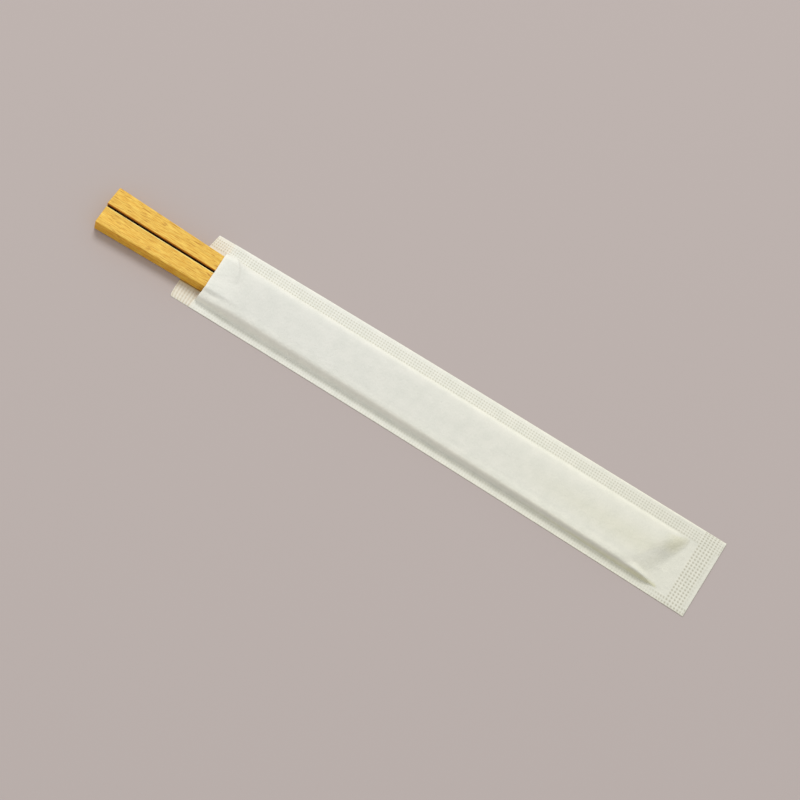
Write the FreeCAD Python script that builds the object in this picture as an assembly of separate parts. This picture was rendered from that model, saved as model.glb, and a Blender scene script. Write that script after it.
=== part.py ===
import FreeCAD, Part
import math
import os

# Wrapped wooden chopsticks: two loose tapered sticks lying side by side in a
# paper sleeve.  The sleeve is two webs of paper, sleeve_front over sleeve_back,
# crimped together along both long edges and across the end past the tips.  The
# front web is torn back, so that the thick heads of the sticks stand out of the
# mouth over a flap of the back web.
#
# Millimetres.  +X runs from the heads to the sealed end, +Z is up, the back
# web lies on Z = 0 and the origin is under the middle of the whole thing.
# "Far" is +Y, "near" is -Y.

# ---- driving dimensions -------------------------------------------------

# sticks
STICK_LENGTH = 209.0       # a hair under the common disposable 210
FAR_HEAD_WIDTH = 7.4       # the far stick, across, at its thick end
NEAR_HEAD_WIDTH = 7.0      # the near one, which is a little slimmer
TIP_WIDTH = 4.0            # one stick, across, at its thin end
HEAD_THICKNESS = 5.2
TIP_THICKNESS = 3.2
WIDTH_TAPER = 1.8          # 1 is a straight taper, more tapers early
THICKNESS_TAPER = 1.3
EDGE_CHAMFER = 0.35        # on the four long edges
END_CHAMFER = 0.3          # round both ends
SLIT = 0.8                 # air between the two sticks
PAIR_SHIFT = -0.56         # the pair lies this far off the sleeve's middle
STICK_STATIONS = 7         # sections that a stick is lofted through

# sleeve
PAPER = 0.12               # one web
SLEEVE_WIDTH = 30.2        # at the sealed end, where it is still flat
BACK_LENGTH = 195.65       # the back web, torn end to sealed end
FLAP_LENGTH = 6.95         # back web that shows beyond the front web
FLAP_SKEW = 1.5            # the torn end runs this much off square
TORN_BOW = 1.1             # and bows out by this, most on the near side
TORN_BOW_BIAS = 0.6        # 1 puts the bow in the middle
END_SEAL = 7.9             # crimped band across the sealed end
FAR_SEAL = 5.4             # crimped band along the far edge
FAR_PEEL = 0.5             # of it, drawn open at the mouth by the bulge
FAR_PEEL_LENGTH = 30.0     # fading out over this
NEAR_SEAL = 3.45           # crimped band along the near edge
NEAR_PEEL = 0.6            # of it, drawn open by the bulge, least at the waist
NEAR_PEEL_MORE = 0.15      # added to that at the sealed end
STICK_OUT = 34.05          # heads beyond the torn end of the back web
FAR_DRAW = 1.25            # far edge drawn in at the mouth by the bulge
FAR_DRAW_POWER = 3         # how late towards the mouth that comes
NEAR_DRAW = 1.2            # near edge drawn in at its waist
NEAR_WAIST = 84.0          # that waist, measured from the heads
EDGE_STATIONS = 9          # places where a long edge is set out

# bulge of the front web over the sticks
HEADROOM = 0.4             # paper above the sticks at the crown
CROWN = 0.3                # fall from the crown to the far stick's outer edge
NEAR_RIDGE = 0.3           # the near shoulder stands up, most at the tips
NEAR_RIDGE_IN = 3.6        # from the near seal line
NEAR_RIDGE_WIDTH = 2.5
FAR_ROUND = 0.8            # the far slope runs this far over the far stick
FAR_FULLNESS = 1.7         # 1 is a straight slope, 2 a quarter round
NEAR_DROOP = 0.07          # the web droops by this, 1 mm out from the near stick
DROOP_END = 60.0           # it droops less and less until here
NEAR_TOE = 0.45            # the near wall's foot spreads this wide
NEAR_TOE_RISE = 0.2        # and rises this far before the wall begins
NEAR_LEAN = 0.44           # width of the near wall, as a share of its height
NEAR_FULLNESS = 3.1        # the higher, the steeper its foot and rounder its top
MOUTH_TENT = 20.0          # the web sags beside the near stick over this length
TENT_SAG = 0.4             # most of that sag, at the mouth
TENT_WIDTH = 1.5           # it is all there this far out from the stick
TENT_FALL = 0.55           # and the web slopes on at this much a millimetre
TENT_TIGHTENING = 0.3      # share of that width that it takes up there
MOUTH_SKEW = 0.6           # the mouth runs this much off square, far side in
MOUTH_SETBACK = 1.4        # where the bulge lifts it, it stands this far back
SETBACK_RISE = 5.0         # all of that where it is lifted this high
SETBACK_REACH = 6.0        # the web is drawn back over this length
TIP_SLOPE = 35.0           # degrees, where the web drops past the tips
TIP_SLOPE_NEAR = 20.0      # the same, eased off beside the near seal
TIP_MARGIN_FAR = 2.3       # from the end seal to the foot of that slope, far side
TIP_MARGIN_NEAR = 7.7      # the same, near side
TIP_MARGIN_BEND = 0.8      # the fold turns along the seal at this share of the width
TIP_ROUND = 1.6            # rounding between the top and that slope
TIP_FOOT_ROUND = 1.6       # the fold's foot is this soft on the near side
TIP_FOOT_CRISP = 0.1       # and this share of it on the far side
TIP_RIDGE = 1.6            # pinched ridge that runs down beside the near seal
TIP_RIDGE_BEFORE = 9.0     # it starts this far before the slope's foot
TIP_RIDGE_BEYOND = 4.0     # and would die out this far beyond it
TIP_RIDGE_IN = 0.9         # from the near seal line
TIP_RIDGE_WIDTH = 1.2

# slack folds in the front web beside the mouth
MOUTH_FOLD = 0.5           # height of the ridge that curves in from the far seal
MOUTH_FOLD_START = 5.3     # where it leaves that seal, from the mouth
MOUTH_FOLD_SWEEP = 6.0     # how far it curves away from the mouth
MOUTH_FOLD_BEND = 5.0      # over this much of the width
MOUTH_FOLD_FALL = 1.0      # its steep side, away from the mouth
MOUTH_FOLD_SOFTENING = 4.0 # from the seal to where that side is twice as wide
MOUTH_DENT = 0.2           # depth of the dent beside the near stick's edge
MOUTH_DENT_START = 5.4     # its middle, from the mouth
MOUTH_DENT_OUT = 0.9       # its middle, out from the stick's face
MOUTH_DENT_LENGTH = 2.4
MOUTH_DENT_WIDTH = 1.2

# net that shapes the front web's surface
BULGE_COLUMNS = 24         # across the bulge, closer together towards the seals
FINE_STEP = 2.0            # along the sleeve, near the mouth and near the tips
COARSE_STEP = 9.0          # along the sleeve, between them
FINE_REACH = 22.0          # length of the two finely stepped stretches

# ---- places worked out from them ----------------------------------------

OVERALL = STICK_OUT + BACK_LENGTH
HEAD_X = -OVERALL / 2
TIP_X = HEAD_X + STICK_LENGTH
END_X = OVERALL / 2
TORN_X = END_X - BACK_LENGTH
MOUTH_X = TORN_X + FLAP_LENGTH
FLOOR = PAPER              # top face of the back web, which carries the sticks


def share(x, start, end):
    """0 at start, 1 at end, held outside."""
    return min(1.0, max(0.0, (x - start) / (end - start)))


def ease(t):
    return t * t * (3 - 2 * t)


def stick_width(x, side):
    """Side is 1 for the far stick and -1 for the near one."""
    head = FAR_HEAD_WIDTH if side > 0 else NEAR_HEAD_WIDTH
    along = share(x, HEAD_X, TIP_X)
    return TIP_WIDTH + (head - TIP_WIDTH) * (1 - along) ** WIDTH_TAPER


def stick_thickness(x):
    along = share(x, HEAD_X, TIP_X)
    extra = HEAD_THICKNESS - TIP_THICKNESS
    return TIP_THICKNESS + extra * (1 - along) ** THICKNESS_TAPER


def stick_outer(x, side):
    """Y of a stick's outer face."""
    return PAIR_SHIFT + side * (SLIT / 2 + stick_width(x, side))


def far_edge(x):
    """The far edge draws in towards the mouth, where the sticks are thickest."""
    return SLEEVE_WIDTH / 2 - FAR_DRAW * share(x, END_X, TORN_X) ** FAR_DRAW_POWER


def off_waist(x):
    """0 at the near edge's waist, 1 at the sealed end."""
    waist_x = HEAD_X + NEAR_WAIST
    return ((x - waist_x) / (END_X - waist_x)) ** 2


def near_edge(x):
    """The near edge has a waist and is widest at the sealed end."""
    return -SLEEVE_WIDTH / 2 + NEAR_DRAW * (1 - off_waist(x))


def far_seal_line(x):
    peel = FAR_PEEL * share(x, MOUTH_X + FAR_PEEL_LENGTH, MOUTH_X)
    return far_edge(x) - FAR_SEAL + peel


def near_seal_line(x):
    return near_edge(x) + NEAR_SEAL - NEAR_PEEL - NEAR_PEEL_MORE * off_waist(x)


# ---- the bulge ----------------------------------------------------------

def quarter(distance, reach, fullness):
    """Rise from 0 to 1 over a reach: a straight ramp to a squarish round."""
    if distance <= 0:
        return 0.0
    if distance >= reach:
        return 1.0
    return (1 - (1 - distance / reach) ** fullness) ** (1 / fullness)


def soft_min(a, b, radius):
    gap = max(radius - abs(a - b), 0.0)
    return min(a, b) - gap * gap / (4 * radius)


def fold(x, y):
    """Slack ridge and dent beside the mouth, as extra height."""
    inward = far_seal_line(x) - y
    swept = MOUTH_FOLD_SWEEP * (1 - math.exp(-inward / MOUTH_FOLD_BEND))
    crest_x = MOUTH_X + MOUTH_FOLD_START + swept
    fall = MOUTH_FOLD_FALL * (1 + max(inward, 0.0) / MOUTH_FOLD_SOFTENING)
    if x < crest_x:
        rise = share(x, MOUTH_X, crest_x)
    else:
        rise = math.exp(-(x - crest_x) / fall)
    dent_x = (x - MOUTH_X - MOUTH_DENT_START) / MOUTH_DENT_LENGTH
    dent_y = (y - stick_outer(MOUTH_X, -1) + MOUTH_DENT_OUT) / MOUTH_DENT_WIDTH
    return MOUTH_FOLD * rise - MOUTH_DENT * math.exp(-dent_x ** 2 - dent_y ** 2)


def bulge(x, y):
    """Height of the front web's outer face over the sealed bands."""
    top = stick_thickness(x) + HEADROOM
    half = stick_outer(x, 1) - PAIR_SHIFT
    top -= CROWN * (max(y - PAIR_SHIFT, 0.0) / half) ** 2
    off = (y - near_seal_line(x) - NEAR_RIDGE_IN) / NEAR_RIDGE_WIDTH
    top += NEAR_RIDGE * share(x, MOUTH_X, TIP_X) * math.exp(-off * off)
    tent = ease(share(x, MOUTH_X + MOUTH_TENT, MOUTH_X))
    beside = max(stick_outer(x, -1) - y, 0.0)
    top -= tent * (TENT_SAG * ease(share(beside, 0.0, TENT_WIDTH)) + TENT_FALL * beside)
    top -= (1 - tent) * NEAR_DROOP * share(x, DROOP_END, MOUTH_X) * beside ** 2
    far_reach = far_seal_line(x) - stick_outer(x, 1) + FAR_ROUND
    far = quarter(far_seal_line(x) - y, far_reach, FAR_FULLNESS)
    near_reach = NEAR_LEAN * (stick_thickness(x) + HEADROOM) * (1 - TENT_TIGHTENING * tent)
    inward = y - near_seal_line(x)
    near = quarter(inward - NEAR_TOE, near_reach, NEAR_FULLNESS)
    toe = NEAR_TOE_RISE * ease(share(inward, 0.0, NEAR_TOE))
    height = far * (toe + (top + fold(x, y) - toe) * near)
    across = share(y, far_seal_line(x), near_seal_line(x))
    slant = ease(share(across, 0.0, TIP_MARGIN_BEND)) * (TIP_MARGIN_NEAR - TIP_MARGIN_FAR)
    foot = END_X - END_SEAL - TIP_MARGIN_FAR - slant
    eased_off = ease(share(y, stick_outer(TIP_X, -1), near_seal_line(x)))
    slope = TIP_SLOPE + eased_off * (TIP_SLOPE_NEAR - TIP_SLOPE)
    drop = (foot - x) * math.tan(math.radians(slope))
    along = share(x, foot - TIP_RIDGE_BEFORE, foot + TIP_RIDGE_BEYOND)
    off = (y - near_seal_line(x) - TIP_RIDGE_IN) / TIP_RIDGE_WIDTH
    ridge = TIP_RIDGE * math.sin(math.pi * along) * math.exp(-off * off)
    blend = TIP_FOOT_ROUND * max(across, TIP_FOOT_CRISP)
    fall = -soft_min(-drop - ridge, 0.0, blend)
    return max(0.0, soft_min(height, fall, TIP_ROUND))


# ---- shapes -------------------------------------------------------------

def polygon(points):
    return Part.makePolygon(points + points[:1])


def stick_section(x, side, inset):
    """Chamfered rectangle across one stick, as a closed wire."""
    inner = PAIR_SHIFT + side * (SLIT / 2 + inset)
    outer = stick_outer(x, side) - side * inset
    low = FLOOR + inset
    high = FLOOR + stick_thickness(x) - inset
    cut = EDGE_CHAMFER
    corners = [
        (inner, low + cut), (inner, high - cut),
        (inner + side * cut, high), (outer - side * cut, high),
        (outer, high - cut), (outer, low + cut),
        (outer - side * cut, low), (inner + side * cut, low),
    ]
    return polygon([FreeCAD.Vector(x, y, z) for y, z in corners])


def chopstick(side):
    start = HEAD_X + END_CHAMFER
    stop = TIP_X - END_CHAMFER
    wires = [stick_section(HEAD_X, side, END_CHAMFER)]
    for k in range(STICK_STATIONS):
        x = start + (stop - start) * k / (STICK_STATIONS - 1)
        wires.append(stick_section(x, side, 0.0))
    wires.append(stick_section(TIP_X, side, END_CHAMFER))
    return Part.makeLoft(wires, True, True)


def spline(points):
    curve = Part.BSplineCurve()
    curve.interpolate([FreeCAD.Vector(x, y, 0.0) for x, y in points])
    return curve.toShape()


def edge_curve(edge, start):
    """Spline along one long edge of the sleeve, from start to the sealed end."""
    places = [start + (END_X - start) * k / (EDGE_STATIONS - 1) for k in range(EDGE_STATIONS)]
    return spline([(x, edge(x)) for x in places])


def torn_curve(near_y, far_y):
    """Spline along the torn end, from its near corner to its far one."""
    points = []
    for k in range(EDGE_STATIONS):
        across = k / (EDGE_STATIONS - 1)
        bow = TORN_BOW * math.sin(math.pi * across ** TORN_BOW_BIAS)
        y = near_y + (far_y - near_y) * across
        points.append((TORN_X + FLAP_SKEW * across - bow, y))
    return spline(points)


def sleeve_back():
    """Flat web that everything lies on, torn a little off square."""
    far_corner = TORN_X + FLAP_SKEW
    far = edge_curve(far_edge, far_corner)
    near = edge_curve(near_edge, TORN_X)
    end = Part.makeLine(far.valueAt(far.LastParameter), near.valueAt(near.LastParameter))
    torn = torn_curve(near_edge(TORN_X), far_edge(far_corner))
    outline = Part.Wire([far, end, near, torn])
    return Part.Face(outline).extrude(FreeCAD.Vector(0, 0, PAPER))


def stations():
    """Places along the front web where its section is set out."""
    places = []
    x = MOUTH_X
    while x < END_X - 0.5 * FINE_STEP:
        places.append(x)
        fine = x < MOUTH_X + FINE_REACH or x > END_X - FINE_REACH - COARSE_STEP
        x += FINE_STEP if fine else COARSE_STEP
    return places + [END_X]


def net_row(x):
    """One row of the front web's net: (y, height above its sealed bands)."""
    far, near = far_seal_line(x), near_seal_line(x)
    row = [(far_edge(x), 0.0), ((far_edge(x) + far) / 2, 0.0), (far, 0.0)]
    for k in range(1, BULGE_COLUMNS):
        across = (1 - math.cos(math.pi * k / BULGE_COLUMNS)) / 2
        y = far + (near - far) * across
        row.append((y, bulge(x, y)))
    row += [(near, 0.0), ((near_edge(x) + near) / 2, 0.0), (near_edge(x), 0.0)]
    return row


def front_net():
    """Net of points on the front web's outer face."""
    net = []
    for x in stations():
        pull = ease(1 - share(x, MOUTH_X, MOUTH_X + SETBACK_REACH))
        row = []
        for y, height in net_row(x):
            across = share(y, near_edge(x), far_edge(x))
            lean = MOUTH_SKEW * across
            lean += MOUTH_SETBACK * (1 - across) * min(1.0, height / SETBACK_RISE)
            row.append(FreeCAD.Vector(x + pull * lean, y, FLOOR + PAPER + height))
        net.append(row)
    return net


def inner_net(net):
    """The same net, one thickness of paper further in."""
    inner = []
    for i, row in enumerate(net):
        before, after = net[max(i - 1, 0)], net[min(i + 1, len(net) - 1)]
        points = []
        for j, point in enumerate(row):
            along = after[j] - before[j]
            across = row[max(j - 1, 0)] - row[min(j + 1, len(row) - 1)]
            normal = along.cross(across)
            normal.normalize()
            points.append(point - normal * PAPER)
        inner.append(points)
    return inner


def crease_line(points):
    """Smooth curve along the sleeve that stays inside its row of points."""
    degree = 2
    spans = len(points) - degree
    repeats = [degree + 1] + [1] * (spans - 1) + [degree + 1]
    steps = [k / spans for k in range(spans + 1)]
    curve = Part.BSplineCurve()
    curve.buildFromPolesMultsKnots(points, repeats, steps, False, degree)
    return curve.toShape()


def strips(lines):
    """Ruled strips of paper from each lengthwise line to the next."""
    return [Part.makeRuledSurface(a, b) for a, b in zip(lines, lines[1:])]


def cut_end(outer, inner, at):
    """Cut edge of the paper across one end of the lines."""
    faces = []
    for k in range(len(outer) - 1):
        top = Part.makeLine(at(outer[k]), at(outer[k + 1]))
        bottom = Part.makeLine(at(inner[k]), at(inner[k + 1]))
        faces.append(Part.makeRuledSurface(top, bottom))
    return faces


def sleeve_front():
    net = front_net()
    outer = [crease_line(list(column)) for column in zip(*net)]
    inner = [crease_line(list(column)) for column in zip(*inner_net(net))]
    faces = strips(outer) + strips(inner)
    faces += [Part.makeRuledSurface(outer[0], inner[0])]
    faces += [Part.makeRuledSurface(outer[-1], inner[-1])]
    faces += cut_end(outer, inner, lambda line: line.valueAt(line.FirstParameter))
    faces += cut_end(outer, inner, lambda line: line.valueAt(line.LastParameter))
    shell = Part.Shell(faces)
    shell.sewShape()
    solid = Part.Solid(Part.Shell(shell.Faces))
    if solid.Volume < 0:
        solid.reverse()
    return solid


# ---- files --------------------------------------------------------------

pieces = {
    "far_chopstick": chopstick(1),
    "near_chopstick": chopstick(-1),
    "sleeve_back": sleeve_back(),
    "sleeve_front": sleeve_front(),
}

os.makedirs("parts", exist_ok=True)
for name, shape in pieces.items():
    box = shape.BoundBox
    print(f"{name}: {len(shape.Solids)} solid, valid {shape.isValid()},",
          f"{shape.Volume / 1000:.3f} cm3, x {box.XMin:.2f} to {box.XMax:.2f},",
          f"y {box.YMin:.2f} to {box.YMax:.2f}, z {box.ZMin:.2f} to {box.ZMax:.2f}")
    shape.exportStep(f"parts/{name}.step")
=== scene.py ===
# %% [markdown]
# # Wrapped wooden chopsticks
# Two loose tapered sticks lie in a thin paper sleeve that has been torn open at their
# thick ends.  The solids hold the real sizes.  Here the wood gets its grain, and the paper
# gets its knurled crimp seals, its creases and its fibre.
# Everything is in the solids' frame: +X runs from the heads to the sealed end, +Y is the
# far side, +Z is up and the table is at Z = 0.

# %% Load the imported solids
import math
import bmesh
import bpy
from mathutils import Matrix, Vector, noise


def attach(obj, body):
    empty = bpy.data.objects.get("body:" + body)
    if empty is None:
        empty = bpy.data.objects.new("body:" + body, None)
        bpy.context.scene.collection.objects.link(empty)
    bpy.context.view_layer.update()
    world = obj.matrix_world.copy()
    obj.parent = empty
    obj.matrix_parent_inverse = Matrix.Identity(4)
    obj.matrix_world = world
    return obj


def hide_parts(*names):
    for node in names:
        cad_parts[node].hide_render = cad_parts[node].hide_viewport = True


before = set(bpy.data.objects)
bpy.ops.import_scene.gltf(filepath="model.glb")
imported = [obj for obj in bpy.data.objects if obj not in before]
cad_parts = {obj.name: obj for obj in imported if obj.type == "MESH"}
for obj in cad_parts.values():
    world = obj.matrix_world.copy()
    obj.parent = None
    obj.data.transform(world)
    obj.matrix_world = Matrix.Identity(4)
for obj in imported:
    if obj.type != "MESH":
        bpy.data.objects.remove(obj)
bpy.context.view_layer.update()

# %% [markdown]
# ## Small tools
# Sizes are written in millimetres, as a maker would measure them, and turned to metres when
# a mesh is finished.  A finished piece keeps its object at the origin with its place in the
# mesh, so that a pattern on Object coordinates stays where it is.
# Colours are written as sRGB hex values, which is how paint and paper are usually quoted,
# but a shader works with linear light, so one function turns them.
# The shapes below are sums of simple ones, so there is a ramp, a ramp with soft ends and a
# hump to build them from.

# %% Tools for pieces, colours and nodes
MM = 0.001


def finish_piece(name, mesh, materials, node):
    """Turns a bmesh in millimetres into an object that stands for one solid."""
    bmesh.ops.scale(mesh, vec=(MM, MM, MM), verts=mesh.verts)
    data = bpy.data.meshes.new(name)
    mesh.to_mesh(data)
    mesh.free()
    piece = bpy.data.objects.new(name, data)
    bpy.context.scene.collection.objects.link(piece)
    for material in materials:
        data.materials.append(material)
    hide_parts(node)
    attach(piece, "root")
    print(name, len(data.polygons), "faces")
    return piece


def linear(code):
    """sRGB hex colour to the linear values that a shader works with."""
    parts = [int(code[k:k + 2], 16) / 255 for k in (1, 3, 5)]
    turned = [c / 12.92 if c <= 0.04045 else ((c + 0.055) / 1.055) ** 2.4 for c in parts]
    return (*turned, 1.0)


def add_node(tree, kind, settings=(), **links):
    """Adds a node, sets its properties, and sets or links its inputs by name."""
    node = tree.nodes.new(kind)
    for key, value in dict(settings).items():
        setattr(node, key, value)
    for key, value in links.items():
        socket = node.inputs[int(key[1:]) if key[0] == "_" else key.replace("_", " ")]
        if isinstance(value, bpy.types.NodeSocket):
            tree.links.new(value, socket)
        else:
            socket.default_value = value
    return node


def share(x, start, end):
    """0 at start, 1 at end, held outside."""
    return min(1.0, max(0.0, (x - start) / (end - start)))


def ease(t):
    """The same climb from 0 to 1, with soft ends."""
    return t * t * (3 - 2 * t)


def hump(distance, width):
    """1 at no distance, fading to nothing over about two widths."""
    return math.exp(-(distance / width) ** 2)


print("one millimetre is", MM, "m")

# %% [markdown]
# ## Wood
# Cheap sticks are bamboo or birch, sawn to a square taper and left without varnish.  What
# the eye sees is a warm straw colour with fine dark pores drawn out along the stick, and
# slow bands where the growth was denser.  A picture of wood could be wrapped round each
# stick, but it would show a seam and repeat.  Here the pores and bands are noise, squeezed
# across the stick and stretched along it, on Object coordinates, so that they run through
# the wood and show as specks on the sawn end.

# %% Planed, unvarnished straw-coloured wood
def planed_wood(name, early, late):
    material = bpy.data.materials.new(name)
    material.use_nodes = True
    tree = material.node_tree
    tree.nodes.clear()
    place = add_node(tree, "ShaderNodeTexCoord").outputs["Object"]
    # slow bands about 2 mm wide and 90 mm long
    slow_place = add_node(tree, "ShaderNodeMapping", Vector=place, Scale=(11, 500, 400))
    slow = add_node(tree, "ShaderNodeTexNoise", Vector=slow_place.outputs[0],
                    Scale=1.0, Detail=2.0, Roughness=0.5)
    # fibres about 0.3 mm wide and 4 mm long
    fine_place = add_node(tree, "ShaderNodeMapping", Vector=place, Scale=(250, 3300, 3100))
    fine = add_node(tree, "ShaderNodeTexNoise", Vector=fine_place.outputs[0],
                    Scale=1.0, Detail=4.0, Roughness=0.7)
    # pores: dark dashes about 0.3 mm wide and 3 mm long
    pore_place = add_node(tree, "ShaderNodeMapping", Vector=place, Scale=(330, 3600, 3400))
    pore = add_node(tree, "ShaderNodeTexNoise", Vector=pore_place.outputs[0],
                    Scale=1.0, Detail=1.0, Roughness=0.5)
    tone = add_node(tree, "ShaderNodeValToRGB", Fac=fine.outputs["Fac"])
    tone.color_ramp.elements[0].position = 0.30
    tone.color_ramp.elements[0].color = linear(early)
    tone.color_ramp.elements[1].position = 0.68
    tone.color_ramp.elements[1].color = linear(late)
    bands = add_node(tree, "ShaderNodeMapRange", Value=slow.outputs["Fac"],
                     From_Min=0.3, From_Max=0.7, To_Min=0.90, To_Max=1.08)
    banded = add_node(tree, "ShaderNodeVectorMath", {"operation": "SCALE"},
                      _0=tone.outputs["Color"], Scale=bands.outputs[0])
    dark = add_node(tree, "ShaderNodeMapRange", Value=pore.outputs["Fac"],
                    From_Min=0.58, From_Max=0.74, To_Min=0.0, To_Max=0.75)
    colour = add_node(tree, "ShaderNodeMix", {"data_type": "RGBA"},
                      _0=dark.outputs[0], _6=banded.outputs[0], _7=linear("#AE6C16"))
    bump = add_node(tree, "ShaderNodeBump", Height=fine.outputs["Fac"], Strength=0.6,
                    Distance=0.00012)
    skin = add_node(tree, "ShaderNodeBsdfPrincipled", Base_Color=colour.outputs[2],
                    Roughness=0.6, IOR=1.5, Normal=bump.outputs[0])
    skin.inputs["Specular IOR Level"].default_value = 0.3
    add_node(tree, "ShaderNodeOutputMaterial", Surface=skin.outputs[0])
    return material


wood = planed_wood("birch, planed and left bare", "#D89826", "#FFD866")
# painted shade on the far stick's slit edge and on the sawn sides, and a painted highlight on
# the near stick's slit edge
shaded_edge_wood = planed_wood("birch, slit edge with painted shade", "#A05400", "#D28608")
shaded_side_wood = planed_wood("birch, sawn side with painted shade", "#DC8C10", "#FFD24E")
lit_edge_wood = planed_wood("birch, slit edge with a painted highlight", "#FFD85E", "#FFF8B0")
print("made", [each.name for each in (wood, shaded_edge_wood, shaded_side_wood, lit_edge_wood)])

# %% [markdown]
# The faces that look at each other across the slit are painted dark, as painted shade,
# so that the slit looks black from above.  Of its two top edges, the far stick's, which
# faces away from the lamp, gets painted shade, and the near stick's, which faces the lamp,
# a painted highlight.  The sawn sides get painted shade and are browner than the planed
# tops.  One material could fade from face to face, but the faces meet at sharp edges, so
# each kind of face gets a material of its own.

# %% Painted shade for the faces in the slit
def slit_shade_wood():
    material = bpy.data.materials.new("birch, painted shade in the slit")
    material.use_nodes = True
    tree = material.node_tree
    tree.nodes.clear()
    place = add_node(tree, "ShaderNodeTexCoord").outputs["Object"]
    # blotches of the painted shade, about 6 mm long and 0.5 mm high
    marks_place = add_node(tree, "ShaderNodeMapping", Vector=place, Scale=(160, 2000, 2000))
    marks = add_node(tree, "ShaderNodeTexNoise", Vector=marks_place.outputs[0],
                     Scale=1.0, Detail=3.0, Roughness=0.6)
    slit_tone = add_node(tree, "ShaderNodeValToRGB", Fac=marks.outputs["Fac"])
    slit_tone.color_ramp.elements[0].position = 0.35
    slit_tone.color_ramp.elements[0].color = linear("#4A2410")
    slit_tone.color_ramp.elements[1].position = 0.70
    slit_tone.color_ramp.elements[1].color = linear("#7A4420")
    skin = add_node(tree, "ShaderNodeBsdfPrincipled", Base_Color=slit_tone.outputs["Color"],
                    Roughness=0.8, IOR=1.5)
    add_node(tree, "ShaderNodeOutputMaterial", Surface=skin.outputs[0])
    return material


slit_shade = slit_shade_wood()
print("made", slit_shade.name)

# %% [markdown]
# ## Sleeve paper
# The sleeve is bleached kraft paper of about 60 g a square metre, matt and slightly creamy.
# Its fibres make a faint cloudy mottle and a skin that is never quite smooth.  The ground
# tone is one colour, the mottle is broad noise of a few millimetres, and the fibre is a
# small bump.  Each web also carries two numbers on its corners: how much painted shade
# falls in its pits and beside the sticks, and how much painted light or shade it gets
# elsewhere.

# %% Bleached kraft paper
def sleeve_paper(name, thin, thick, bitten):
    material = bpy.data.materials.new(name)
    material.use_nodes = True
    tree = material.node_tree
    tree.nodes.clear()
    place = add_node(tree, "ShaderNodeTexCoord").outputs["Object"]
    # clouds of pulp about 4 mm across
    cloud = add_node(tree, "ShaderNodeTexNoise", Vector=place, Scale=250.0, Detail=3.0,
                     Roughness=0.55)
    tone = add_node(tree, "ShaderNodeValToRGB", Fac=cloud.outputs["Fac"])
    tone.color_ramp.elements[0].position = 0.35
    tone.color_ramp.elements[0].color = linear(thin)
    tone.color_ramp.elements[1].position = 0.65
    tone.color_ramp.elements[1].color = linear(thick)
    # painted shade: the paper turns a shade creamier towards the sealed end, where the light
    # falls off
    along = add_node(tree, "ShaderNodeSeparateXYZ", Vector=place)
    end_falloff = add_node(tree, "ShaderNodeMapRange", Value=along.outputs["X"],
                     From_Min=-0.03, From_Max=0.09)
    shaded = add_node(tree, "ShaderNodeMix", {"data_type": "RGBA", "blend_type": "MULTIPLY"},
                      _0=end_falloff.outputs[0], _6=tone.outputs["Color"], _7=linear("#FFFEF8"))
    # fibres and felt marks about 0.9 mm across
    felt = add_node(tree, "ShaderNodeTexNoise", Vector=place, Scale=1100.0, Detail=4.0,
                    Roughness=0.65)
    bump = add_node(tree, "ShaderNodeBump", Height=felt.outputs["Fac"], Strength=1.0,
                    Distance=0.00022)
    # painted shade in each pit, and on the back web beside the sticks, in the colour given as
    # bitten
    pit_and_contact_shade = add_node(tree, "ShaderNodeAttribute", {"attribute_name": "pit_and_contact_shade"})
    pit_shaded = add_node(tree, "ShaderNodeMix", {"data_type": "RGBA"}, _0=pit_and_contact_shade.outputs["Fac"],
                       _6=shaded.outputs[2], _7=linear(bitten))
    # painted light and shade: -1 is a painted highlight on cut and torn edges, 0 is one free
    # web, 1 is painted shade over the wood and towards the sealed end, 2 is painted warm
    # shade on a steep wall, and 3 is painted shade in the wood's reflected colour where the
    # paper touches the wood
    painted_light = add_node(tree, "ShaderNodeAttribute", {"attribute_name": "painted_light"})
    level = add_node(tree, "ShaderNodeMapRange", Value=painted_light.outputs["Fac"],
                     From_Min=-1.0, From_Max=3.0)
    painted_light_colour = add_node(tree, "ShaderNodeValToRGB", Fac=level.outputs[0])
    stops = painted_light_colour.color_ramp.elements
    stops[0].color = linear("#FFFFFF")
    stops[1].color = linear("#C8A25C")
    stops.new(0.25).color = linear("#F5F6F8")
    stops.new(0.50).color = linear("#E9EAED")
    stops.new(0.75).color = linear("#E4E3D2")
    painted_lighting = add_node(tree, "ShaderNodeVectorMath", {"operation": "MULTIPLY"},
                      _0=pit_shaded.outputs[2], _1=painted_light_colour.outputs["Color"])
    skin = add_node(tree, "ShaderNodeBsdfPrincipled", Base_Color=painted_lighting.outputs[0],
                    Roughness=0.75, IOR=1.45, Normal=bump.outputs[0])
    add_node(tree, "ShaderNodeOutputMaterial", Surface=skin.outputs[0])
    return material


# the last colour of each is its painted shade for pits and for paper beside the sticks
paper = sleeve_paper("kraft paper, bleached and uncoated", "#F4F3E6", "#FAF8EB", "#C0BAA2")
inner_paper = sleeve_paper("kraft paper, its creamier inner side", "#F8F3E1", "#FFFAEA",
                           "#B89F70")
print("made", paper.name, "and", inner_paper.name)

# %% [markdown]
# ## The sticks
# Each stick starts as a cube.  It is cut across into short lengths, drawn out to the
# taper, and its edges are bevelled, as a planing machine leaves them.  Two end sections
# could be bridged instead, but the taper isn't straight, so it needs corners in between.
# The heads weren't sawn quite square, and one stick lies a little further in.

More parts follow.
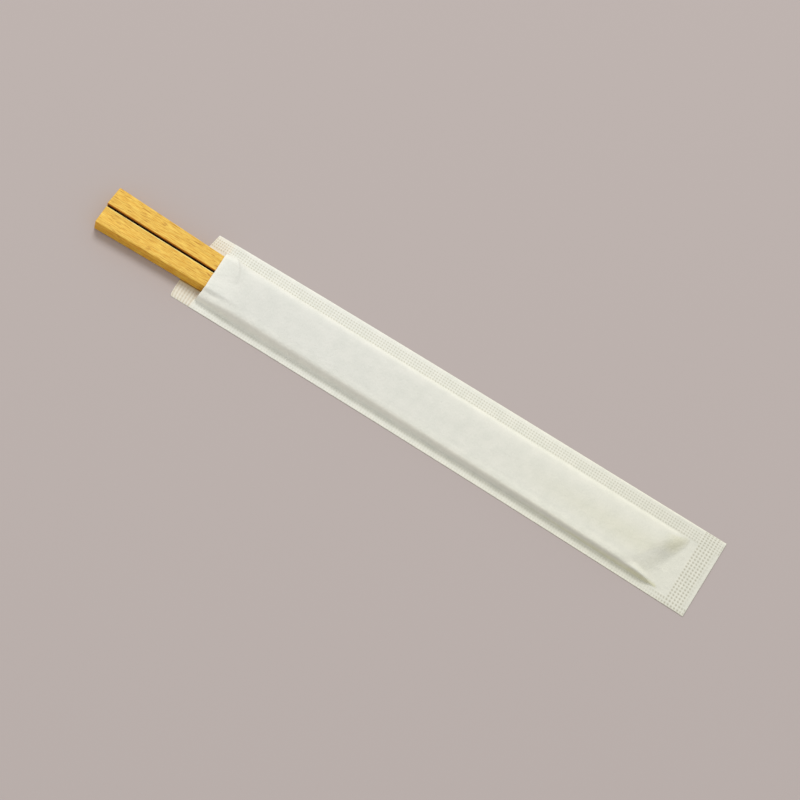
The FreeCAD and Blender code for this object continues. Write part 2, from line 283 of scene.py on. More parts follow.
# %% Stick sizes
STICK_LENGTH = 209.0
FAR_HEAD_WIDTH = 7.4
NEAR_HEAD_WIDTH = 7.0
TIP_WIDTH = 4.0
HEAD_THICKNESS = 5.2
TIP_THICKNESS = 3.2
WIDTH_TAPER = 1.8
THICKNESS_TAPER = 1.3
EDGE_BEVEL = 0.35
STICK_LENGTHS = 20
SLIT = 0.8
PAIR_SHIFT = -0.56
PAPER = 0.12

STICK_OUT = 34.05
BACK_LENGTH = 195.65
OVERALL = STICK_OUT + BACK_LENGTH
HEAD_X = -OVERALL / 2
TIP_X = HEAD_X + STICK_LENGTH
END_X = OVERALL / 2


def stick_width(x, side):
    """Side is 1 for the far stick and -1 for the near one, which is a little slimmer."""
    head = FAR_HEAD_WIDTH if side > 0 else NEAR_HEAD_WIDTH
    along = share(x, HEAD_X, TIP_X)
    return TIP_WIDTH + (head - TIP_WIDTH) * (1 - along) ** WIDTH_TAPER


def stick_thickness(x):
    along = share(x, HEAD_X, TIP_X)
    extra = HEAD_THICKNESS - TIP_THICKNESS
    return TIP_THICKNESS + extra * (1 - along) ** THICKNESS_TAPER


def stick_outer(x, side):
    return PAIR_SHIFT + side * (SLIT / 2 + stick_width(x, side))


print("sticks run from", HEAD_X, "to", TIP_X)

# %% Shape both sticks
# an edge sharper than this many radians is bevelled, and a face is a side if its normal
# points this far along Y
SQUARE_CORNER = 0.8
FACES_SIDEWAYS = 0.9
ON_THE_SLIT = 0.01


def chopstick(name, side, set_back, skew, edge, node):
    """One stick, its head set back and skewed; edge is the wood along the slit's top, with
    painted shade or a painted highlight.
    """
    mesh = bmesh.new()
    bmesh.ops.create_cube(mesh, size=1.0)
    bmesh.ops.translate(mesh, vec=(0.5, 0.5, 0.5), verts=mesh.verts)
    for k in range(1, STICK_LENGTHS):
        geometry = mesh.verts[:] + mesh.edges[:] + mesh.faces[:]
        bmesh.ops.bisect_plane(mesh, geom=geometry, plane_co=(k / STICK_LENGTHS, 0, 0),
                               plane_no=(1, 0, 0))
    for v in mesh.verts:
        x = HEAD_X + STICK_LENGTH * v.co.x
        y = PAIR_SHIFT + side * (SLIT / 2 + stick_width(x, side) * v.co.y)
        z = PAPER + stick_thickness(x) * v.co.z
        if v.co.x == 0:
            x += set_back + skew * abs(y - PAIR_SHIFT)
        v.co = (x, y, z)
    bmesh.ops.recalc_face_normals(mesh, faces=mesh.faces)
    sharp = [e for e in mesh.edges if e.calc_face_angle(0) > SQUARE_CORNER]
    bmesh.ops.bevel(mesh, geom=sharp, offset=EDGE_BEVEL, offset_type="OFFSET", segments=2,
                    profile=0.5, affect="EDGES", material=-1)
    mesh.normal_update()
    for f in mesh.faces:
        middle = f.calc_center_median()
        from_slit = abs(middle.y - PAIR_SHIFT) - SLIT / 2
        bevel_foot = PAPER + stick_thickness(middle.x) - EDGE_BEVEL
        # the faces on the slit get painted shade, so that the slit looks black
        if from_slit < ON_THE_SLIT:
            f.material_index = 1
        # the slit's top edge gets painted shade on the far stick and a painted highlight on
        # the near one
        elif from_slit < EDGE_BEVEL and middle.z > bevel_foot:
            f.material_index = 2
        # the sawn sides get painted shade
        elif abs(f.normal.y) > FACES_SIDEWAYS:
            f.material_index = 3
    return finish_piece(name, mesh, [wood, slit_shade, edge, shaded_side_wood], node)


far_stick = chopstick("far_stick", 1, -0.05, 0.05, shaded_edge_wood, "far_chopstick")
near_stick = chopstick("near_stick", -1, 0.3, 0.0, lit_edge_wood, "near_chopstick")

# %% [markdown]
# ## Outline of the sleeve
# The bulge over the sticks draws both long edges in a little: the far one most at the
# mouth, the near one most at a waist further on.  The far seal is wider than the near one.
# The edges could be traced as curves, but short formulas keep every row of the mesh, and
# the solids, on the same lines.

# %% Sleeve sizes
SLEEVE_WIDTH = 30.2
FLAP_LENGTH = 6.95
FLAP_SKEW = 1.5
TORN_BOW = 1.1
TORN_BOW_BIAS = 0.6
END_SEAL = 7.9
FAR_SEAL = 5.4
FAR_PEEL = 0.5
FAR_PEEL_LENGTH = 30.0
NEAR_SEAL = 3.45
NEAR_PEEL = 0.6
NEAR_PEEL_MORE = 0.15
FAR_DRAW = 1.25
FAR_DRAW_POWER = 3
NEAR_DRAW = 1.2
NEAR_WAIST = 84.0
TORN_X = END_X - BACK_LENGTH
MOUTH_X = TORN_X + FLAP_LENGTH


def far_edge(x):
    return SLEEVE_WIDTH / 2 - FAR_DRAW * share(x, END_X, TORN_X) ** FAR_DRAW_POWER


def off_waist(x):
    """0 at the near edge's waist and 1 at the sealed end."""
    waist_x = HEAD_X + NEAR_WAIST
    return ((x - waist_x) / (END_X - waist_x)) ** 2


def near_edge(x):
    return -SLEEVE_WIDTH / 2 + NEAR_DRAW * (1 - off_waist(x))


def far_seal_line(x):
    peel = FAR_PEEL * share(x, MOUTH_X + FAR_PEEL_LENGTH, MOUTH_X)
    return far_edge(x) - FAR_SEAL + peel


def near_seal_line(x):
    return near_edge(x) + NEAR_SEAL - NEAR_PEEL - NEAR_PEEL_MORE * off_waist(x)


def torn_offset(y):
    """The torn end runs off square and bows out."""
    across = share(y, near_edge(TORN_X), far_edge(TORN_X))
    return FLAP_SKEW * across - TORN_BOW * math.sin(math.pi * across ** TORN_BOW_BIAS)


print("mouth at", MOUTH_X, "sealed end at", END_X)

# %% [markdown]
# ## Bulge of the front web
# Paper can't stretch, so over the sticks it makes a shape with one flat top and slopes that
# are nearly straight.  The far slope reaches down to the wide seal.  On the near side the
# web droops a little beside the stick, drops steeply and ends in a small toe at the seal,
# and at the mouth it hangs like a tent.  Past the tips the web falls to the end seal along
# a slanted fold, because the far stick's tip holds it up longer.
# A cloth simulation could drape it.  Formulas are used because they give the same shape
# each time and stay on the solid, which is built from the same ones.

# %% Sizes of the bulge
HEADROOM = 0.4
CROWN = 0.3
NEAR_RIDGE = 0.3
NEAR_RIDGE_IN = 3.6
NEAR_RIDGE_WIDTH = 2.5
FAR_ROUND = 0.8
FAR_FULLNESS = 1.7
NEAR_DROOP = 0.07
DROOP_END = 60.0
NEAR_TOE = 0.45
NEAR_TOE_RISE = 0.2
NEAR_LEAN = 0.44
NEAR_FULLNESS = 3.1
MOUTH_TENT = 20.0
TENT_SAG = 0.4
TENT_WIDTH = 1.5
TENT_FALL = 0.55
TENT_TIGHTENING = 0.3
TIP_SLOPE = 35.0
TIP_SLOPE_NEAR = 20.0
TIP_MARGIN_FAR = 2.3
TIP_MARGIN_NEAR = 7.7
TIP_MARGIN_BEND = 0.8
TIP_ROUND = 1.6
TIP_FOOT_ROUND = 1.6
TIP_FOOT_CRISP = 0.1
TIP_RIDGE = 1.6
TIP_RIDGE_BEFORE = 9.0
TIP_RIDGE_BEYOND = 4.0
TIP_RIDGE_IN = 0.9
TIP_RIDGE_WIDTH = 1.2
MOUTH_FOLD = 0.5
MOUTH_FOLD_START = 5.3
MOUTH_FOLD_SWEEP = 6.0
MOUTH_FOLD_BEND = 5.0
MOUTH_FOLD_FALL = 1.0
MOUTH_FOLD_SOFTENING = 4.0
MOUTH_FOLD_CRISPEST = 0.1
MOUTH_DENT = 0.2
MOUTH_DENT_START = 5.4
MOUTH_DENT_OUT = 0.9
MOUTH_DENT_LENGTH = 2.4
MOUTH_DENT_WIDTH = 1.2
print("the web clears the sticks by", HEADROOM, "mm")


# %% Height of the front web
def quarter(distance, reach, fullness):
    """Rise from 0 to 1 over a reach: a straight ramp to a squarish round."""
    if distance <= 0:
        return 0.0
    if distance >= reach:
        return 1.0
    return (1 - (1 - distance / reach) ** fullness) ** (1 / fullness)


def soft_min(a, b, radius):
    """The lower of two heights, rounded where they meet."""
    gap = max(radius - abs(a - b), 0.0)
    return min(a, b) - gap * gap / (4 * radius)


def fold(x, y):
    """Slack ridge that curves in from the far seal, and a dent beside the near stick."""
    swept = MOUTH_FOLD_SWEEP * (1 - math.exp(-(far_seal_line(x) - y) / MOUTH_FOLD_BEND))
    crest_x = MOUTH_X + MOUTH_FOLD_START + swept
    fall = MOUTH_FOLD_FALL * (1 + (far_seal_line(x) - y) / MOUTH_FOLD_SOFTENING)
    if x < crest_x:
        rise = share(x, MOUTH_X, crest_x)
    else:
        rise = math.exp(-(x - crest_x) / max(fall, MOUTH_FOLD_CRISPEST))
    dent_x = (x - MOUTH_X - MOUTH_DENT_START) / MOUTH_DENT_LENGTH
    dent_y = (y - stick_outer(MOUTH_X, -1) + MOUTH_DENT_OUT) / MOUTH_DENT_WIDTH
    return MOUTH_FOLD * rise - MOUTH_DENT * math.exp(-dent_x ** 2 - dent_y ** 2)


def bulge(x, y):
    """How high the front web stands over its flat seals at x, y."""
    top = stick_thickness(x) + HEADROOM
    half = stick_outer(x, 1) - PAIR_SHIFT
    top -= CROWN * (max(y - PAIR_SHIFT, 0.0) / half) ** 2
    off = (y - near_seal_line(x) - NEAR_RIDGE_IN) / NEAR_RIDGE_WIDTH
    top += NEAR_RIDGE * share(x, MOUTH_X, TIP_X) * math.exp(-off * off)
    tent = ease(share(x, MOUTH_X + MOUTH_TENT, MOUTH_X))
    beside = max(stick_outer(x, -1) - y, 0.0)
    top -= tent * (TENT_SAG * ease(share(beside, 0.0, TENT_WIDTH)) + TENT_FALL * beside)
    top -= (1 - tent) * NEAR_DROOP * share(x, DROOP_END, MOUTH_X) * beside ** 2
    far_reach = far_seal_line(x) - stick_outer(x, 1) + FAR_ROUND
    far = quarter(far_seal_line(x) - y, far_reach, FAR_FULLNESS)
    near_reach = NEAR_LEAN * (stick_thickness(x) + HEADROOM) * (1 - TENT_TIGHTENING * tent)
    inward = y - near_seal_line(x)
    near = quarter(inward - NEAR_TOE, near_reach, NEAR_FULLNESS)
    toe = NEAR_TOE_RISE * ease(share(inward, 0.0, NEAR_TOE))
    height = far * (toe + (top + fold(x, y) - toe) * near)
    across = share(y, far_seal_line(x), near_seal_line(x))
    slant = ease(share(across, 0.0, TIP_MARGIN_BEND)) * (TIP_MARGIN_NEAR - TIP_MARGIN_FAR)
    foot = END_X - END_SEAL - TIP_MARGIN_FAR - slant
    eased_off = ease(share(y, stick_outer(TIP_X, -1), near_seal_line(x)))
    slope = TIP_SLOPE + eased_off * (TIP_SLOPE_NEAR - TIP_SLOPE)
    drop = (foot - x) * math.tan(math.radians(slope))
    along = share(x, foot - TIP_RIDGE_BEFORE, foot + TIP_RIDGE_BEYOND)
    off = (y - near_seal_line(x) - TIP_RIDGE_IN) / TIP_RIDGE_WIDTH
    ridge = TIP_RIDGE * math.sin(math.pi * along) * math.exp(-off * off)
    fall = -soft_min(-drop - ridge, 0.0, TIP_FOOT_ROUND * max(across, TIP_FOOT_CRISP))
    return max(0.0, soft_min(height, fall, TIP_ROUND))


print("web stands", round(bulge(0, 0), 2), "mm over its seals in the middle")

# %% [markdown]
# ## Knurled seals
# The sleeve is sealed between two knurled rollers, which press a grid of small square pits
# through both webs.  A bump pattern could draw them, but in a low light real pits have
# rims that shade each other.  Each web therefore starts as a plain grid, one cell to a pit:
# 1 mm apart along the long seals and 1.2 mm apart across the end seal.  The cells are then
# split, twice where there are pits or folds and once elsewhere, and each corner is moved
# to its place and height.

# %% Grid of cells, one to a pit
SIDE_PITCH = 1.0
END_PITCH = 1.2
END_PIT_COLUMNS = 5
END_MARGIN_CELLS = 2
FAR_RIM_CELLS = 2
FAR_PIT_ROWS = 4
FAR_PIT_PITCH = 0.97
NEAR_PIT_ROWS = 2
MIDDLE_CELLS = 18
rows = FAR_RIM_CELLS + FAR_PIT_ROWS + MIDDLE_CELLS + NEAR_PIT_ROWS
end_seal_x = END_X - END_SEAL


def column_place(u, start, columns):
    """X of column u of a web that starts at start."""
    long_columns = columns - END_PIT_COLUMNS - END_MARGIN_CELLS
    if u <= long_columns:
        return start + (end_seal_x - start) * u / long_columns
    u -= long_columns
    if u <= END_PIT_COLUMNS:
        return end_seal_x + u * END_PITCH
    margin = END_SEAL - END_PIT_COLUMNS * END_PITCH
    return END_X - margin * (1 - (u - END_PIT_COLUMNS) / END_MARGIN_CELLS)


def row_place(v, x, bunched):
    """Y of row v at x; bunched rows crowd towards the seals, where the web bends."""
    if v <= FAR_RIM_CELLS:
        rim = far_edge(x) - far_seal_line(x) - FAR_PIT_ROWS * FAR_PIT_PITCH
        return far_edge(x) - rim * v / FAR_RIM_CELLS
    v -= FAR_RIM_CELLS
    if v <= FAR_PIT_ROWS:
        return far_seal_line(x) + FAR_PIT_PITCH * (FAR_PIT_ROWS - v)
    v = (v - FAR_PIT_ROWS) / MIDDLE_CELLS
    if v <= 1:
        crowd = (1 - math.cos(math.pi * v)) / 2
        v += bunched * (crowd - v)
        return far_seal_line(x) + (near_seal_line(x) - far_seal_line(x)) * v
    v = (v - 1) * MIDDLE_CELLS / NEAR_PIT_ROWS
    return near_seal_line(x) + (near_edge(x) - near_seal_line(x)) * v


print("rows of cells:", rows)

# %% How hard the rollers bit
PIT_DEPTH = 0.15
END_BITE = 1.0
END_FADED_BITE = 0.35
FAR_BITE = 0.7
FAR_FADED_BITE = 0.2
NEAR_BITE = 0.3
NEAR_BITE_MORE = 0.5


def hollow(t):
    """0 on a cell's border and 1 in its middle."""
    return math.sin(math.pi * (t % 1.0)) ** 2


def bite(u, v, columns):
    """How hard the rollers bit at a place in the grid, from 0 to 1."""
    into_end = u - (columns - END_PIT_COLUMNS - END_MARGIN_CELLS)
    end = 0.0
    if 0 < into_end < END_PIT_COLUMNS:
        end = END_BITE
    elif END_PIT_COLUMNS < into_end < END_PIT_COLUMNS + 1:
        end = END_FADED_BITE
    far = 0.0
    if FAR_RIM_CELLS < v < FAR_RIM_CELLS + FAR_PIT_ROWS:
        far = FAR_BITE
    elif FAR_RIM_CELLS - 1 < v < FAR_RIM_CELLS:
        far = FAR_FADED_BITE
    near = 0.0
    if v > rows - NEAR_PIT_ROWS:
        near = NEAR_BITE + NEAR_BITE_MORE * share(into_end, -5.0, -2.0)
    return max(end, far, near)


def shade_towards_end(x):
    """Painted shade that deepens towards the sealed end, where the light falls off."""
    return share(x, 50.0, 98.0)


print("a pit is", PIT_DEPTH, "mm deep")


# %% Lay out a web
def web_grid(columns, finely):
    """Flat grid in cell numbers; finely(u, v) says which cells are split twice."""
    mesh = bmesh.new()
    bmesh.ops.create_grid(mesh, x_segments=columns, y_segments=rows, size=0.5)
    bmesh.ops.translate(mesh, vec=(0.5, 0.5, 0), verts=mesh.verts)
    bmesh.ops.scale(mesh, vec=(columns, rows, 1), verts=mesh.verts)
    bmesh.ops.subdivide_edges(mesh, edges=mesh.edges[:], cuts=1, use_grid_fill=True)
    chosen = [f for f in mesh.faces if finely(*f.calc_center_median()[:2])]
    edges = list({e for f in chosen for e in f.edges})
    bmesh.ops.subdivide_edges(mesh, edges=edges, cuts=1, use_grid_fill=True)
    return mesh


def in_seal(u, v, columns):
    """Whether a cell lies in one of the three crimped seals."""
    banded = v < FAR_RIM_CELLS + FAR_PIT_ROWS or v > rows - NEAR_PIT_ROWS
    return banded or u > columns - END_PIT_COLUMNS - END_MARGIN_CELLS


def columns_from(start):
    """Columns of cells in a web that starts at start and runs to the sealed end."""
    return round((end_seal_x - start) / SIDE_PITCH) + END_PIT_COLUMNS + END_MARGIN_CELLS


front_columns = columns_from(MOUTH_X)
back_columns = columns_from(TORN_X)
print("columns of cells:", front_columns, back_columns)

# %% Move a web's corners to their places
def shape_web(mesh, place):
    """place(u, v) gives x, y, z, its painted shade in pits or beside the sticks, and its
    painted light and shade.
    """
    pit_and_contact_shade = mesh.verts.layers.float.new("pit_and_contact_shade")
    painted_light = mesh.verts.layers.float.new("painted_light")
    for vertex in mesh.verts:
        x, y, z, vertex[pit_and_contact_shade], vertex[painted_light] = place(vertex.co.x, vertex.co.y)
        vertex.co = (x, y, z)
    bmesh.ops.recalc_face_normals(mesh, faces=mesh.faces)
    if sum(f.normal.z for f in mesh.faces) < 0:
        bmesh.ops.reverse_faces(mesh, faces=mesh.faces)
    for f in mesh.faces:
        f.smooth = True


def one_web_thick(piece):
    wall = piece.modifiers.new("one web thick", "SOLIDIFY")
    wall.thickness = PAPER * MM
    wall.offset = -1.0


print("a web is", PAPER, "mm thick")

# %% [markdown]
# ## Creases
# A crease is a sharp line where the paper has buckled.  Each one here is a short run of
# points with a height and a reach to each side.  They start at the seals near the mouth
# and near the tips, where the flat band has to turn into the bulge.  Noise alone would put
# them anywhere, so the larger ones are listed one by one.

# %% Height of one crease
def crease(x, y, points, height, left, right):
    """Height of one crease at x, y; left and right are its reach to either side."""
    total = sum(math.dist(a, b) for a, b in zip(points, points[1:]))
    best, along, done = None, 0.0, 0.0
    for (ax, ay), (bx, by) in zip(points, points[1:]):
        length = math.dist((ax, ay), (bx, by))
        t = share((x - ax) * (bx - ax) + (y - ay) * (by - ay), 0.0, length * length)
        away = math.hypot(x - ax - t * (bx - ax), y - ay - t * (by - ay))
        if best is None or away < abs(best):
            side = (bx - ax) * (y - ay) - (by - ay) * (x - ax)
            best, along = math.copysign(away, side), (done + t * length) / total
        done += length
    reach = left if best > 0 else right
    return height * math.exp(-abs(best) / reach) * math.sin(math.pi * along ** 0.7) ** 0.8


halfway = crease(5.0, 0.0, ((0.0, 0.0), (10.0, 0.0)), 1.0, 1.0, 1.0)
print("a crease 1 mm high stands", round(halfway, 2), "mm halfway along it")

# %% Creases beside the mouth and the tips
CREASED_BEFORE = -60
CREASED_BEYOND = 90
MOUTH_CREASES = [
    (((-71.0, 10.2), (-68.6, 6.9), (-66.6, 4.0), (-65.2, 1.4), (-64.6, -0.6)), 1.5, 1.1, 3.0),
    (((-73.2, 8.6), (-71.6, 6.2), (-70.8, 3.4)), 0.12, 0.6, 0.9),
]
TIP_CREASES = [
    (((104.9, 9.4), (103.0, 6.2), (100.4, 1.6)), -0.22, 0.6, 0.9),
    (((105.6, 8.6), (104.8, 4.0), (104.2, -1.0)), 0.14, 0.5, 0.8),
    (((100.0, -12.3), (101.6, -12.0), (102.6, -12.4)), 0.30, 0.4, 0.5),
    (((93.5, -6.5), (97.0, -7.6), (100.2, -9.6)), 0.16, 0.8, 0.8),
    (((106.4, -2.0), (104.4, -4.4), (103.0, -8.0)), 0.10, 0.6, 0.6),
]


def creases(x, y):
    if x < CREASED_BEFORE:
        return sum(crease(x, y, *c) for c in MOUTH_CREASES)
    if x > CREASED_BEYOND:
        return sum(crease(x, y, *c) for c in TIP_CREASES)
    return 0.0


print(len(MOUTH_CREASES) + len(TIP_CREASES), "creases")

# %% [markdown]
# ## Front web
# The grid is lifted to the height of the bulge.  Its torn edge stands back a little where
# it is lifted, because the same length of paper has further to go.  Slow, shallow noise
# keeps the top from looking like sheet metal, and the last half millimetre at the mouth
# curls down where it was torn.

# %% Waves and crumples of loose paper
WAVE = 0.10
SHORT_WAVE = 0.045
RIPPLE = 0.06
DEEPEST_WAVE = -0.05


def slack(x, y):
    """Shallow waves of paper that lies loose on the wood, rippled on the near shoulder."""
    slow = noise.noise(Vector((x / 14, y / 7, 3.7)))
    short = noise.noise(Vector((x / 4.0, y / 3.0, 8.1)))
    ripple = noise.noise(Vector((x / 9.0, y / 0.9, 1.4)))
    shoulder = hump(y - near_seal_line(x) - 3.0, 2.0)
    return max(WAVE * slow + SHORT_WAVE * short + RIPPLE * shoulder * ripple, DEEPEST_WAVE)


def wrinkle(x, y):
    """Small crumples, for where the web has no wood close beneath it."""
    inside = share(far_seal_line(x) - y, 0.0, 1.0) * share(y - near_seal_line(x), 0.0, 1.0)
    return inside * max(noise.noise(Vector((x / 2.2, y / 1.1, 6.2))), 0.0)


print("waves up to", round(WAVE + SHORT_WAVE + RIPPLE, 3), "mm")

# %% [markdown]
# The front web's colour is painted lighter and darker to stand for light and shade: painted
# highlights at the torn and cut edges, on the far slope and on the near wall's crest, painted
# shade over the wood, and a painted warm shade on the steep near wall and on the far half of
# the fold past the tips.  A translucent shader could work some of this out, but it needs many
# more samples to come out clean, so a number on each corner says how much of this a place
# gets.

# %% Painted light and shade on the front web
TEAR_REACH = 0.5
CUT_EDGE_WIDTH = 0.45
MOUTH_GLOW = 0.9
MOUTH_GLOW_REACH = 16
SLOPE_GLOW_IN = 0.8
SLOPE_GLOW_WIDTH = 1.2
SLOPE_GLOW_WIDER = 1.6
SLOPE_GLOW = 0.7
SLOPE_GLOW_LOSS = 0.5
FOLD_SHADE = 1.3
FOLD_LIGHT = 0.8
WALL_IN = 0.6
WALL_WIDTH = 1.1
WALL_SHADE = 2.5
WALL_LIGHT = 0.6
CREST_IN = 1.15
CREST_WIDTH = 0.55
CREST_GLOW = 0.8
CREST_LOSS = 0.5
SHOULDER_IN = 2.6
SHOULDER_WIDTH = 1.0
SHOULDER_GLOW = 0.7
VALLEY_Y = -2.0
VALLEY_WIDTH = 4.0
VALLEY_DIM = 0.25


def torn_rim(x):
    """1 at the torn mouth, fading within a millimetre or so."""
    return math.exp(-(x - MOUTH_X) / TEAR_REACH)


def painted_lighting(x, y, height):
    """Painted light and shade on the web, from -1 (painted highlight) to 2 (painted shade).
    """
    inward = y - near_seal_line(x)
    held_up = share(height, 1.0, 3.0)
    # painted highlight on the far slope, widest near the mouth
    spread = SLOPE_GLOW_WIDTH + SLOPE_GLOW_WIDER * share(x, 0.0, -60.0)
    slope = hump(far_seal_line(x) - y - SLOPE_GLOW_IN, spread) * share(height, 0.0, 0.5)
    slope *= 1 - share(x, 98.0, 103.0)
    # painted shade over the wood, but little at the mouth, which is painted lighter
    mouth_light = MOUTH_GLOW * share(x, MOUTH_X + MOUTH_GLOW_REACH, MOUTH_X)
    high = share(height, 0.6, stick_thickness(x)) * (1 - mouth_light)
    over = max(high, shade_towards_end(x)) * (1 - slope)
    # painted shade on the far half of the fold past the tips, and a painted highlight on its
    # near half
    part_way = height / (TIP_THICKNESS + HEADROOM)
    dropping = share(x - 0.5 * y, 93.0, 97.0) * 4 * part_way * max(1 - part_way, 0.0)
    over += dropping * (FOLD_SHADE * share(y, -4.0, 3.0) - FOLD_LIGHT)
    # painted warm shade on the near wall towards the tips, painted light on it by the mouth,
    # and a painted highlight on the crest above it
    wall = hump(inward - WALL_IN, WALL_WIDTH) * share(height, 0.0, 0.15)
    over += wall * (WALL_SHADE * share(x, -30.0, 75.0) - WALL_LIGHT - over)
    crest = hump(inward - CREST_IN, CREST_WIDTH) * held_up
    over -= crest * (CREST_GLOW + over) * (1 - CREST_LOSS * share(x, 70.0, 95.0))
    # painted highlights along the cut and torn edges
    over -= (1 + over) * hump(far_edge(x) - y, CUT_EDGE_WIDTH)
    over -= (1 + over) * hump(y - near_edge(x), CUT_EDGE_WIDTH)
    # painted highlights at the torn mouth, on the near shoulder and on the far slope, and
    # painted shade along a valley on the top
    torn = torn_rim(x)
    shoulder = SHOULDER_GLOW * (hump(inward - SHOULDER_IN, SHOULDER_WIDTH) * held_up)
    valley = share(x, 40.0, 80.0) * hump(y - VALLEY_Y, VALLEY_WIDTH) * held_up
    lit = slope * (SLOPE_GLOW - SLOPE_GLOW_LOSS * share(x, 20.0, 90.0))
    return over * (1 - torn) + VALLEY_DIM * valley - torn - lit - shoulder


print("dimmed over the wood:", round(painted_lighting(0.0, 0.0, bulge(0.0, 0.0)), 2))

# %% Front web
MOUTH_SKEW = 0.6
MOUTH_SETBACK = 1.4
SETBACK_RISE = 5.0
SETBACK_REACH = 6.0
ROWS_BUNCHED = 0.8
UNBUNCHED_BEFORE_SEAL = 12
RAGGED = 0.12
CURL = 0.1
MOUTH_CRUMPLE = 0.08
TIP_CRUMPLE = 0.2
FINE_AT_MOUTH = 13
FINE_AT_TIPS = 15


def front_place(u, v):
    x = column_place(u, MOUTH_X, front_columns)
    from_seal = share(x, end_seal_x, end_seal_x - UNBUNCHED_BEFORE_SEAL)
    y = row_place(v, x, ROWS_BUNCHED * ease(from_seal))
    height = bulge(x, y)
    painted_light = painted_lighting(x, y, height)
    burr = torn_rim(x)
    across = share(y, near_edge(x), far_edge(x))
    set_back = MOUTH_SKEW * across
    set_back += MOUTH_SETBACK * (1 - across) * min(1.0, height / SETBACK_RISE)
    x += set_back * ease(1 - share(x, MOUTH_X, MOUTH_X + SETBACK_REACH))
    x += RAGGED * burr * noise.noise(Vector((y / 0.9, 5.3, 0.0)))
    loose = share(height, 0.0, 1.5) * slack(x, y) + share(height, -0.4, 0.8) * creases(x, y)
    loose += MOUTH_CRUMPLE * share(x, MOUTH_X + 14, MOUTH_X + 8) * wrinkle(x, y)
    if x > TIP_X and height < 1.0:
        loose += TIP_CRUMPLE * share(end_seal_x - x, 0.0, 1.5) * wrinkle(x, y)
    bitten = bite(u, v, front_columns)
    deep = hollow(u) * hollow(v)
    rim = share(min(v, rows - v, front_columns - u), 0.0, 0.5)
    z = 2 * PAPER + height + loose + PIT_DEPTH * bitten * rim * (1 - deep)
    z = max(z, 2 * PAPER) - CURL * burr * share(height, 0.5, 1.5)
    ridge = bitten * (1 - deep)
    return x, y, z, bitten * deep, painted_light * (1 - 0.5 * ridge)


def front_web():
    def finely(u, v):
        x = column_place(u, MOUTH_X, front_columns)
        folded = x < MOUTH_X + FINE_AT_MOUTH or x > end_seal_x - FINE_AT_TIPS
        return folded or in_seal(u, v, front_columns)

    mesh = web_grid(front_columns, finely)
    shape_web(mesh, front_place)
    piece = finish_piece("front_web", mesh, [paper], "sleeve_front")
    one_web_thick(piece)
    return piece


front = front_web()

# %% [markdown]
# ## Back web
# The back web lies flat on the table and carries the sticks.  Its torn end shows as a flap
# under the heads.  On the near side of the flap the seal has peeled open, and the rollers'
# marks are left there as ribs across the paper.  Close beside the sticks the flap gets a
# painted shade and a painted reflection of the wood's colour.

# %% Back web
RIB_REACH = 6.5
RIBS_BEYOND_MOUTH = 14
RIB_BITE = 0.5
RIB_FLOOR = 0.65
CONTACT_REACH = 0.9
CONTACT_SHADE = 0.4
CONTACT_REFLECTION = 3.4
FINE_UNDER_MOUTH = 2


def back_place(u, v):
    x = column_place(u, TORN_X, back_columns)
    y = row_place(v, x, 0.0)
    bitten = bite(u, v, back_columns)
    deep = hollow(u) * hollow(v)
    from_near = y - near_edge(x)
    ribbed = ease(share(x, MOUTH_X + RIBS_BEYOND_MOUTH, MOUTH_X))
    ribbed *= share(from_near, RIB_REACH, RIB_REACH - 1)
    peeled_row = rows - NEAR_PIT_ROWS
    if ribbed * RIB_BITE > bitten * share(v, peeled_row, peeled_row - 1):
        bitten = max(bitten, RIB_BITE * ribbed)
        deep = hollow(u) * (RIB_FLOOR + (1 - RIB_FLOOR) * hollow(v))
    rim = share(min(u, v, rows - v, back_columns - u), 0.0, 0.5)
    z = PAPER + PIT_DEPTH * bitten * rim * (1 - deep)
    x += torn_offset(y) * share(x, MOUTH_X, TORN_X)
    # painted contact shade and a painted reflection of the wood close beside the sticks
    beside = max(stick_outer(x, -1) - y, y - stick_outer(x, 1), 0.0)
    contact = math.exp(-beside / CONTACT_REACH)
    pit_and_contact_shade = max(bitten * deep, CONTACT_SHADE * contact)
    return x, y, z, pit_and_contact_shade, max(shade_towards_end(x), CONTACT_REFLECTION * contact)


def back_web():
    def finely(u, v):
        x = column_place(u, TORN_X, back_columns)
        return in_seal(u, v, back_columns) or x < MOUTH_X + FINE_UNDER_MOUTH

    mesh = web_grid(back_columns, finely)
    shape_web(mesh, back_place)
    piece = finish_piece("back_web", mesh, [inner_paper], "sleeve_back")
    one_web_thick(piece)
    return piece


back = back_web()

# %% [markdown]
# ## Table, light and camera
# The part lies on a plain table top.  One round soft box stands behind it and to the left,
# about 55 degrees up, and the white room fills in the rest of the light.  A small lamp would
# throw hard shadows, and the white room alone would show no creases at all.

# %% Table top
HALF_TABLE = 3.0


def table_top():
    mesh = bmesh.new()
    bmesh.ops.create_grid(mesh, x_segments=1, y_segments=1, size=HALF_TABLE)
    data = bpy.data.meshes.new("table")
    mesh.to_mesh(data)
    mesh.free()
    table = bpy.data.objects.new("table", data)
    bpy.context.scene.collection.objects.link(table)
    material = bpy.data.materials.new("laminate, matt and warm grey")
    material.use_nodes = True
    skin = material.node_tree.nodes["Principled BSDF"]
    skin.inputs["Roughness"].default_value = 0.9
    skin.inputs["Specular IOR Level"].default_value = 0.1
    skin.inputs["Base Color"].default_value = linear("#BCB1AD")
    data.materials.append(material)
    return table


table = table_top()
print("table is", table.dimensions[0], "m wide")

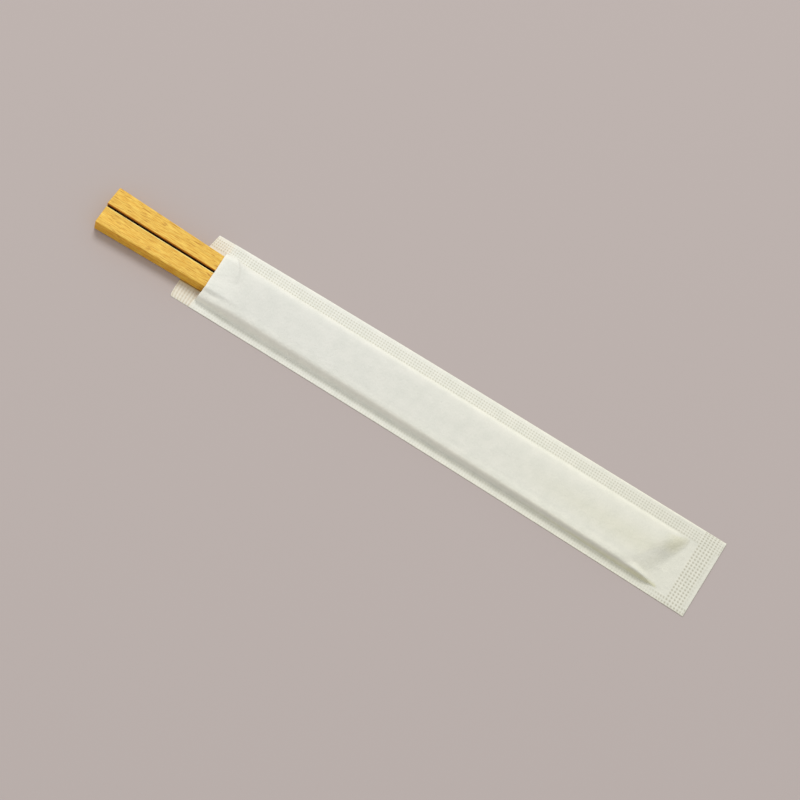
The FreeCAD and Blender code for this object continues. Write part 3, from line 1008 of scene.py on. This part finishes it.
# %% Light
ROOM_STRENGTH = 0.63
LAMP_DISTANCE = 2.4
LAMP_WIDTH = 1.12
LAMP_POWER = 26.4
world = bpy.data.worlds.new("studio")
world.use_nodes = True
room = world.node_tree.nodes["Background"]
room.inputs["Color"].default_value = (1.0, 1.0, 1.0, 1.0)
room.inputs["Strength"].default_value = ROOM_STRENGTH
bpy.context.scene.world = world

lamp = bpy.data.lights.new("key", "AREA")
lamp.shape = "DISK"
lamp.size = LAMP_WIDTH
lamp.energy = LAMP_POWER
key = bpy.data.objects.new("key", lamp)
bpy.context.scene.collection.objects.link(key)
towards = Vector((-0.32, 0.47, 0.82)).normalized()
key.location = towards * LAMP_DISTANCE
key.rotation_mode = "QUATERNION"
key.rotation_quaternion = towards.to_track_quat("Z", "Y")
print("key light comes from", tuple(round(c, 2) for c in towards))

# %% [markdown]
# The camera looks down on the table from the near side with a long lens, turned about its
# own axis so that the sticks run down from upper left to lower right.

# %% Camera
AIMED_AT = (0.36, -2.47, 0.0)
CAMERA_AZIMUTH = 11.26
CAMERA_ELEVATION = 64.69
CAMERA_TURN = 21.54
CAMERA_DISTANCE = 1155.4
LENS = 160.0
SENSOR_WIDTH = 36.0


def look(target, azimuth, elevation, distance, turn):
    """A camera aimed at a place in millimetres; the angles are in degrees."""
    a, e, r = (math.radians(angle) for angle in (azimuth, elevation, turn))
    away = Vector((math.sin(a) * math.cos(e), -math.cos(a) * math.cos(e), math.sin(e)))
    level_right = Vector((math.cos(a), math.sin(a), 0))
    level_up = away.cross(level_right)
    right = math.cos(r) * level_right + math.sin(r) * level_up
    upward = away.cross(right)
    camera = bpy.data.objects.new("camera", bpy.data.cameras.new("camera"))
    bpy.context.scene.collection.objects.link(camera)
    place = Matrix((right, upward, away)).transposed().to_4x4()
    place.translation = Vector(target) * MM + away * distance * MM
    camera.matrix_world = place
    return camera


camera = look(AIMED_AT, CAMERA_AZIMUTH, CAMERA_ELEVATION, CAMERA_DISTANCE, CAMERA_TURN)
camera.data.lens = LENS
camera.data.sensor_width = SENSOR_WIDTH
camera.data.clip_start = 0.05
camera.data.clip_end = 20.0
bpy.context.scene.camera = camera
bpy.context.scene.view_settings.view_transform = "Standard"
print("camera at", tuple(round(c, 3) for c in camera.location))

# %% List the pieces
print("pieces:", [piece.name for piece in (far_stick, near_stick, front, back)])
